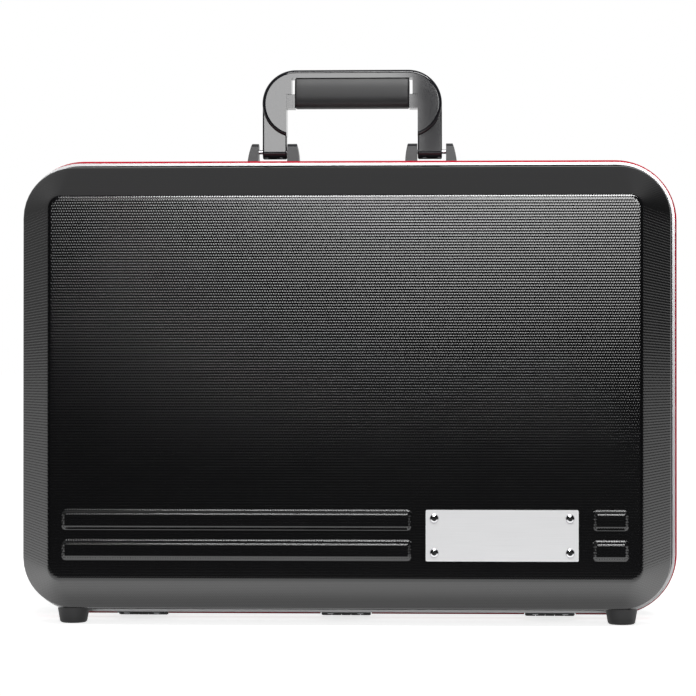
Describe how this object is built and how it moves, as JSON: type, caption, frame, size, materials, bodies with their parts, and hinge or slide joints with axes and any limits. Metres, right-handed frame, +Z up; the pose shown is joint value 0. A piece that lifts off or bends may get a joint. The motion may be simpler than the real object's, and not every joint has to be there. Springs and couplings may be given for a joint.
{
  "type": "hard carrying case",
  "caption": "Rigid two-shell carrying case with bevelled ribbed panels, metal frame bands, folding top handle, tilt latches, bottom hinges, lid stays and rubber feet.",
  "frame": {"origin": "on the ground under the middle of the closed case, in the split plane between the two halves", "axes": "+X along the case's width, +Y from the lid at the front to the base at the back, +Z up"},
  "size_m": [0.4816, 0.1812, 0.4055],
  "materials": {
    "bracket_black": "satin",
    "foot_rubber": "matt",
    "frame_aluminium": "satin anodised",
    "grip_soft": "matt",
    "handle_gloss": "high gloss",
    "hinge_black": "satin",
    "key_brass": "turned",
    "latch_chrome": "polished",
    "latch_zinc": "satin",
    "lining": "short pile",
    "plate_aluminium": "satin",
    "seal_rubber": "matt",
    "shell_abs": "embossed gloss",
    "steel_zinc": "zinc plated",
    "trim_red": "gloss"
  },
  "bodies": {
    "base": {"base_feet": "foot_rubber", "base_foot_screws": "steel_zinc", "base_frame": "frame_aluminium", "base_frame_rivets": "steel_zinc", "base_hinge_leaf_left": "hinge_black", "base_hinge_leaf_middle": "hinge_black", "base_hinge_leaf_right": "hinge_black", "base_hinge_rivets": "steel_zinc", "base_lining": "lining", "base_shell": "shell_abs", "base_trim": "trim_red", "handle_bracket_left": "bracket_black", "handle_bracket_right": "bracket_black", "handle_bracket_screws": "steel_zinc", "handle_pin_left": "steel_zinc", "handle_pin_right": "steel_zinc", "hinge_pin_left": "hinge_black", "hinge_pin_middle": "hinge_black", "hinge_pin_right": "hinge_black", "latch_housing_left": "latch_zinc", "latch_housing_right": "latch_zinc", "latch_pin_left": "steel_zinc", "latch_pin_right": "steel_zinc", "latch_screws": "steel_zinc", "latch_spring_left": "steel_zinc", "latch_spring_right": "steel_zinc", "stay_bracket_base_left": "steel_zinc", "stay_bracket_base_right": "steel_zinc"},
    "lid": {"latch_keeper_left": "steel_zinc", "latch_keeper_right": "steel_zinc", "lid_feet": "foot_rubber", "lid_foot_screws": "steel_zinc", "lid_frame": "frame_aluminium", "lid_frame_rivets": "steel_zinc", "lid_hinge_leaf_left": "hinge_black", "lid_hinge_leaf_middle": "hinge_black", "lid_hinge_leaf_right": "hinge_black", "lid_hinge_rivets": "steel_zinc", "lid_lining": "lining", "lid_seal": "seal_rubber", "lid_shell": "shell_abs", "lid_trim": "trim_red", "name_plate": "plate_aluminium", "name_plate_screws": "steel_zinc", "stay_bracket_lid_left": "steel_zinc", "stay_bracket_lid_right": "steel_zinc"},
    "handle": {"handle_arch": "handle_gloss", "handle_grip": "grip_soft"},
    "lever_left": {"latch_lever_left": "latch_chrome"},
    "key_left": {"key_cylinder_left": "key_brass"},
    "base_arm_left": {"stay_arm_base_left": "steel_zinc", "stay_rivet_left": "steel_zinc"},
    "lid_arm_left": {"stay_arm_lid_left": "steel_zinc"},
    "lever_right": {"latch_lever_right": "latch_chrome"},
    "key_right": {"key_cylinder_right": "key_brass"},
    "base_arm_right": {"stay_arm_base_right": "steel_zinc", "stay_rivet_right": "steel_zinc"},
    "lid_arm_right": {"stay_arm_lid_right": "steel_zinc"}
  },
  "joints": [
    {"name": "lid_hinge", "type": "hinge", "parent": "base", "child": "lid", "pos_m": [0, 0, 0.0037], "axis": [1, 0, 0], "range_deg": [0, 100]},
    {"name": "handle_fold", "type": "hinge", "parent": "base", "child": "handle", "pos_m": [0.002, 0.015, 0.345], "axis": [1, 0, 0], "range_deg": [-80, 80]},
    {"name": "latch_tilt_left", "type": "hinge", "parent": "base", "child": "lever_left", "pos_m": [-0.1445, 0.01565, 0.3315], "axis": [-1, 0, 0], "range_deg": [0, 25], "stiffness_Nm_per_rad": 0.06, "springref_deg": -20.05},
    {"name": "key_turn_left", "type": "hinge", "parent": "base", "child": "key_left", "pos_m": [-0.1665, 0.0156, 0.3295], "axis": [0, 0, 1], "range_deg": [0, 90]},
    {"name": "stay_base_left", "type": "hinge", "parent": "base", "child": "base_arm_left", "pos_m": [-0.227, 0.014, 0.12288], "axis": [1, 0, 0], "range_deg": [0, 100]},
    {"name": "stay_lid_left", "type": "hinge", "parent": "lid", "child": "lid_arm_left", "pos_m": [-0.2248, -0.014, 0.12288], "axis": [1, 0, 0], "range_deg": [-100, 0]},
    {"name": "latch_tilt_right", "type": "hinge", "parent": "base", "child": "lever_right", "pos_m": [0.1445, 0.01565, 0.3315], "axis": [-1, 0, 0], "range_deg": [0, 25], "stiffness_Nm_per_rad": 0.06, "springref_deg": -20.05},
    {"name": "key_turn_right", "type": "hinge", "parent": "base", "child": "key_right", "pos_m": [0.1665, 0.0156, 0.3295], "axis": [0, 0, 1], "range_deg": [0, 90]},
    {"name": "stay_base_right", "type": "hinge", "parent": "base", "child": "base_arm_right", "pos_m": [0.227, 0.014, 0.12288], "axis": [1, 0, 0], "range_deg": [0, 100]},
    {"name": "stay_lid_right", "type": "hinge", "parent": "lid", "child": "lid_arm_right", "pos_m": [0.2248, -0.014, 0.12288], "axis": [1, 0, 0], "range_deg": [-100, 0]}
  ],
  "couplings": [
    {"joint": "stay_base_left", "follows": "lid_hinge", "ratio": 1},
    {"joint": "stay_lid_left", "follows": "lid_hinge", "ratio": -1},
    {"joint": "stay_base_right", "follows": "lid_hinge", "ratio": 1},
    {"joint": "stay_lid_right", "follows": "lid_hinge", "ratio": -1}
  ]
}
